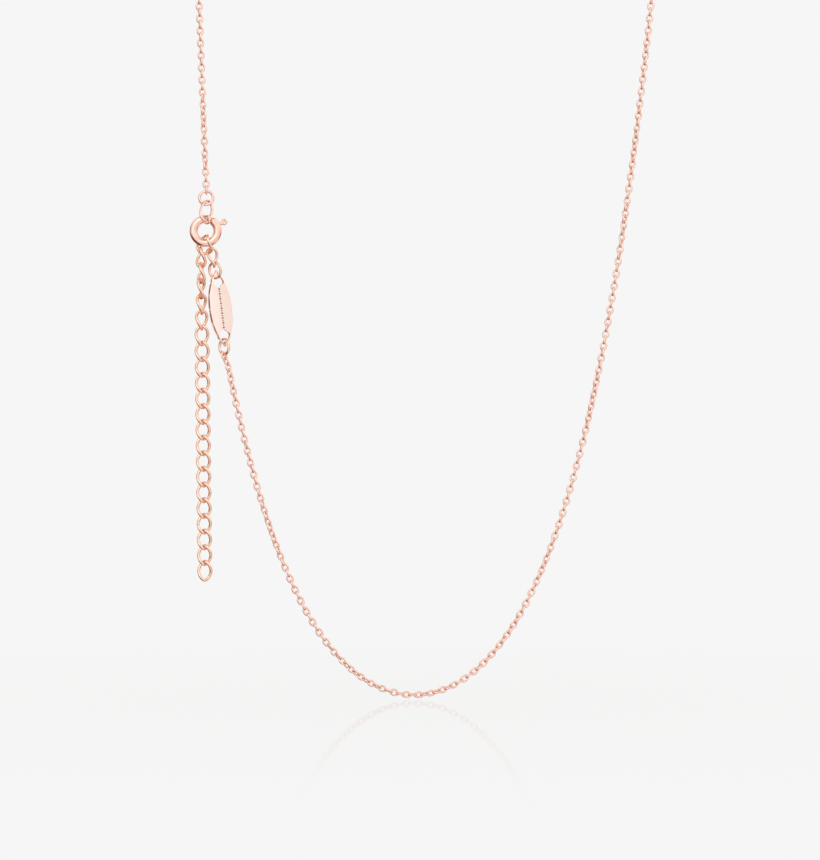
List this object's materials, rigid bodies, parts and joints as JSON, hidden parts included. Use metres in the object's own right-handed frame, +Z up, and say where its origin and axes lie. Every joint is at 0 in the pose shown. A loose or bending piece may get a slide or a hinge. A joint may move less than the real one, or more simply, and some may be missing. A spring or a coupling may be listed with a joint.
{
  "type": "chain necklace",
  "caption": "Fine rose-gold trace-chain necklace closed by a spring-ring clasp on a curb extender chain, with a pointed oval tag.",
  "frame": {"origin": "centre of the display neck that the necklace hangs on, level with the chain that rests on it; the front hangs in the plane Y = 0", "axes": "+X right, +Y to the back of the neck, +Z up, as the necklace hangs"},
  "size_m": [0.0749, 0.0472, 0.125],
  "materials": {
    "fine_chain_metal": "polished rose-gold plate",
    "extender_metal": "polished rose-gold plate",
    "polished_findings": "polished rose-gold plate",
    "tag_metal": "polished rose-gold plate",
    "spring_steel": "drawn wire"
  },
  "bodies": {
    "neck": {"neck_chain_left_shoulder": "fine_chain_metal", "neck_chain_right_shoulder": "fine_chain_metal", "neck_chain_1": "fine_chain_metal", "neck_chain_2": "fine_chain_metal", "neck_chain_3": "fine_chain_metal", "neck_chain_4": "fine_chain_metal", "neck_chain_5": "fine_chain_metal"},
    "front_1": {"chain_right_1": "fine_chain_metal", "chain_left_1": "fine_chain_metal"},
    "front_2": {"chain_right_2": "fine_chain_metal", "chain_left_2": "fine_chain_metal"},
    "front_3": {"chain_right_3": "fine_chain_metal", "chain_left_3": "fine_chain_metal"},
    "front_4": {"chain_right_4": "fine_chain_metal"},
    "front_5": {"chain_right_5": "fine_chain_metal"},
    "front_6": {"chain_right_6": "fine_chain_metal"},
    "front_7": {"chain_right_7": "fine_chain_metal", "chain_left_4": "fine_chain_metal"},
    "front_8": {"chain_right_8": "fine_chain_metal", "chain_left_5": "fine_chain_metal"},
    "front_9": {"chain_right_9": "fine_chain_metal", "chain_left_6": "fine_chain_metal"},
    "front_10": {"chain_right_10": "fine_chain_metal", "chain_left_7": "fine_chain_metal"},
    "front_11": {"chain_right_11": "fine_chain_metal", "chain_left_8": "fine_chain_metal"},
    "front_12": {"chain_bottom": "fine_chain_metal"},
    "end_ring": {"chain_end_ring": "polished_findings"},
    "clasp_link": {"clasp_link": "polished_findings"},
    "clasp": {"clasp_body": "polished_findings", "clasp_eye": "polished_findings", "clasp_spring": "spring_steel"},
    "clasp_slide": {"clasp_bolt": "polished_findings", "clasp_lever": "polished_findings"},
    "link_02": {"extender_link_02": "extender_metal"},
    "link_01": {"extender_link_01": "extender_metal"},
    "tag_top_ring": {"tag_ring_top": "polished_findings"},
    "tag": {"tag_plate": "tag_metal"},
    "tag_bottom_ring": {"tag_ring_bottom": "polished_findings"},
    "link_03": {"extender_link_03": "extender_metal"},
    "link_04": {"extender_link_04": "extender_metal"},
    "link_05": {"extender_link_05": "extender_metal"},
    "link_06": {"extender_link_06": "extender_metal"},
    "link_07": {"extender_link_07": "extender_metal"},
    "link_08": {"extender_link_08": "extender_metal"},
    "link_09": {"extender_link_09": "extender_metal"},
    "link_10": {"extender_link_10": "extender_metal"},
    "link_11": {"extender_link_11": "extender_metal"},
    "link_12": {"extender_link_12": "extender_metal"},
    "link_13": {"extender_link_13": "extender_metal"},
    "link_14": {"extender_link_14": "extender_metal"},
    "link_15": {"extender_link_15": "extender_metal"},
    "link_16": {"extender_link_16": "extender_metal"},
    "link_17": {"extender_link_17": "extender_metal"},
    "link_18": {"extender_link_18": "extender_metal"},
    "link_19": {"extender_link_19": "extender_metal"},
    "link_20": {"extender_link_20": "extender_metal"},
    "link_21": {"extender_link_21": "extender_metal"},
    "link_22": {"extender_link_22": "extender_metal"},
    "link_23": {"extender_link_23": "extender_metal"}
  },
  "joints": [
    {"name": "front_1_swing", "type": "hinge", "parent": "neck", "child": "front_1", "pos_m": [0, 0, -0.008], "axis": [1, 0, 0], "range_deg": [-20, 20]},
    {"name": "front_2_swing", "type": "hinge", "parent": "front_1", "child": "front_2", "pos_m": [0, 0, -0.02], "axis": [-1, 0, 0], "range_deg": [-20, 20]},
    {"name": "front_3_swing", "type": "hinge", "parent": "front_2", "child": "front_3", "pos_m": [0, 0, -0.0315], "axis": [1, 0, 0], "range_deg": [-20, 20]},
    {"name": "front_4_swing", "type": "hinge", "parent": "front_3", "child": "front_4", "pos_m": [0, 0, -0.04342], "axis": [-1, 0, 0], "range_deg": [-20, 20]},
    {"name": "front_5_swing", "type": "hinge", "parent": "front_4", "child": "front_5", "pos_m": [0, 0, -0.0515], "axis": [1, 0, 0], "range_deg": [-12, 12]},
    {"name": "front_6_swing", "type": "hinge", "parent": "front_5", "child": "front_6", "pos_m": [0, 0, -0.0551], "axis": [-1, 0, 0], "range_deg": [-2, 15]},
    {"name": "front_7_swing", "type": "hinge", "parent": "front_6", "child": "front_7", "pos_m": [0, 0, -0.06934], "axis": [1, 0, 0], "range_deg": [-15, 15]},
    {"name": "front_8_swing", "type": "hinge", "parent": "front_7", "child": "front_8", "pos_m": [0, 0, -0.081], "axis": [-1, 0, 0], "range_deg": [-20, 20]},
    {"name": "front_9_swing", "type": "hinge", "parent": "front_8", "child": "front_9", "pos_m": [0, 0, -0.093], "axis": [1, 0, 0], "range_deg": [-20, 20]},
    {"name": "front_10_swing", "type": "hinge", "parent": "front_9", "child": "front_10", "pos_m": [0, 0, -0.104], "axis": [-1, 0, 0], "range_deg": [-20, 20]},
    {"name": "front_11_swing", "type": "hinge", "parent": "front_10", "child": "front_11", "pos_m": [0, 0, -0.113], "axis": [1, 0, 0], "range_deg": [-20, 20]},
    {"name": "front_12_swing", "type": "hinge", "parent": "front_11", "child": "front_12", "pos_m": [0, 0, -0.1195], "axis": [-1, 0, 0], "range_deg": [-20, 20]},
    {"name": "end_ring_twist", "type": "hinge", "parent": "front_4", "child": "end_ring", "pos_m": [-0.03514, 0, -0.0443], "axis": [0, 0, 1], "range_deg": [-12, 12]},
    {"name": "clasp_link_twist", "type": "hinge", "parent": "front_4", "child": "clasp_link", "pos_m": [-0.03509, -0.00071, -0.04639], "axis": [0, 0, 1], "range_deg": [-4, 4]},
    {"name": "clasp_twist", "type": "hinge", "parent": "front_4", "child": "clasp", "pos_m": [-0.03525, 0, -0.0496], "axis": [0, 0, 1], "range_deg": [-4, 4]},
    {"name": "clasp_open", "type": "hinge", "parent": "clasp", "child": "clasp_slide", "pos_m": [-0.03525, 0, -0.0496], "axis": [0, 1, 0], "range_deg": [0, 24], "stiffness_Nm_per_rad": 0.0004, "springref_deg": -20.05, "deforming": ["clasp_spring"]},
    {"name": "link_02_twist", "type": "hinge", "parent": "front_5", "child": "link_02", "pos_m": [-0.03531, 0.0002, -0.05174], "axis": [0, 0, 1], "range_deg": [-3, 3]},
    {"name": "link_01_twist", "type": "hinge", "parent": "front_5", "child": "link_01", "pos_m": [-0.03412, 0.00013, -0.05383], "axis": [0.1624, -0.1233, -0.979], "range_deg": [-4, 4]},
    {"name": "tag_top_ring_twist", "type": "hinge", "parent": "front_6", "child": "tag_top_ring", "pos_m": [-0.03375, 0.0001, -0.05589], "axis": [-0.225, 0, 0.9744], "range_deg": [-4, 4]},
    {"name": "tag_twist", "type": "hinge", "parent": "front_6", "child": "tag", "pos_m": [-0.03287, 0.00002, -0.06201], "axis": [0.1219, 0, -0.9925], "range_deg": [-5, 5]},
    {"name": "tag_bottom_ring_twist", "type": "hinge", "parent": "front_6", "child": "tag_bottom_ring", "pos_m": [-0.03227, 0, -0.06812], "axis": [0, 0, 1], "range_deg": [-5, 5]},
    {"name": "link_03_swing", "type": "hinge", "parent": "link_02", "child": "link_03", "pos_m": [-0.03603, 0.0005, -0.05253], "axis": [1, 0, 0], "range_deg": [-2, 8]},
    {"name": "link_04_swing", "type": "hinge", "parent": "link_03", "child": "link_04", "pos_m": [-0.036, 0.0005, -0.05504], "axis": [0, 1, 0], "range_deg": [-1, 6]},
    {"name": "link_05_swing", "type": "hinge", "parent": "link_04", "child": "link_05", "pos_m": [-0.03597, 0.0005, -0.05754], "axis": [-1, 0, 0], "range_deg": [-15, 2]},
    {"name": "link_06_swing", "type": "hinge", "parent": "link_05", "child": "link_06", "pos_m": [-0.03594, 0.0005, -0.06005], "axis": [0, -1, 0], "range_deg": [-12, 1]},
    {"name": "link_07_swing", "type": "hinge", "parent": "link_06", "child": "link_07", "pos_m": [-0.03591, 0.0005, -0.06256], "axis": [1, 0, 0], "range_deg": [-2, 15]},
    {"name": "link_08_swing", "type": "hinge", "parent": "link_07", "child": "link_08", "pos_m": [-0.03588, 0.0005, -0.06507], "axis": [0, 1, 0], "range_deg": [-1, 12]},
    {"name": "link_09_swing", "type": "hinge", "parent": "link_08", "child": "link_09", "pos_m": [-0.03585, 0.0005, -0.06758], "axis": [-1, 0, 0], "range_deg": [-15, 2]},
    {"name": "link_10_swing", "type": "hinge", "parent": "link_09", "child": "link_10", "pos_m": [-0.03582, 0.0005, -0.07009], "axis": [0, -1, 0], "range_deg": [-15, 8]},
    {"name": "link_11_swing", "type": "hinge", "parent": "link_10", "child": "link_11", "pos_m": [-0.03579, 0.0005, -0.0726], "axis": [1, 0, 0], "range_deg": [-15, 15]},
    {"name": "link_12_swing", "type": "hinge", "parent": "link_11", "child": "link_12", "pos_m": [-0.03576, 0.0005, -0.07511], "axis": [0, 1, 0], "range_deg": [-8, 15]},
    {"name": "link_13_swing", "type": "hinge", "parent": "link_12", "child": "link_13", "pos_m": [-0.03572, 0.0005, -0.07762], "axis": [-1, 0, 0], "range_deg": [-15, 15]},
    {"name": "link_14_swing", "type": "hinge", "parent": "link_13", "child": "link_14", "pos_m": [-0.03569, 0.0005, -0.08013], "axis": [0, -1, 0], "range_deg": [-15, 8]},
    {"name": "link_15_swing", "type": "hinge", "parent": "link_14", "child": "link_15", "pos_m": [-0.03566, 0.0005, -0.08264], "axis": [1, 0, 0], "range_deg": [-15, 15]},
    {"name": "link_16_swing", "type": "hinge", "parent": "link_15", "child": "link_16", "pos_m": [-0.03563, 0.0005, -0.08515], "axis": [0, 1, 0], "range_deg": [-8, 15]},
    {"name": "link_17_swing", "type": "hinge", "parent": "link_16", "child": "link_17", "pos_m": [-0.0356, 0.0005, -0.08766], "axis": [-1, 0, 0], "range_deg": [-15, 15]},
    {"name": "link_18_swing", "type": "hinge", "parent": "link_17", "child": "link_18", "pos_m": [-0.03557, 0.0005, -0.09017], "axis": [0, -1, 0], "range_deg": [-15, 8]},
    {"name": "link_19_swing", "type": "hinge", "parent": "link_18", "child": "link_19", "pos_m": [-0.03554, 0.0005, -0.09268], "axis": [1, 0, 0], "range_deg": [-15, 15]},
    {"name": "link_20_swing", "type": "hinge", "parent": "link_19", "child": "link_20", "pos_m": [-0.03551, 0.0005, -0.09519], "axis": [0, 1, 0], "range_deg": [-8, 15]},
    {"name": "link_21_swing", "type": "hinge", "parent": "link_20", "child": "link_21", "pos_m": [-0.03548, 0.0005, -0.0977], "axis": [-1, 0, 0], "range_deg": [-15, 15]},
    {"name": "link_22_swing", "type": "hinge", "parent": "link_21", "child": "link_22", "pos_m": [-0.03545, 0.0005, -0.10021], "axis": [0, -1, 0], "range_deg": [-15, 8]},
    {"name": "link_23_swing", "type": "hinge", "parent": "link_22", "child": "link_23", "pos_m": [-0.03542, 0.0005, -0.10272], "axis": [1, 0, 0], "range_deg": [-15, 15]}
  ]
}
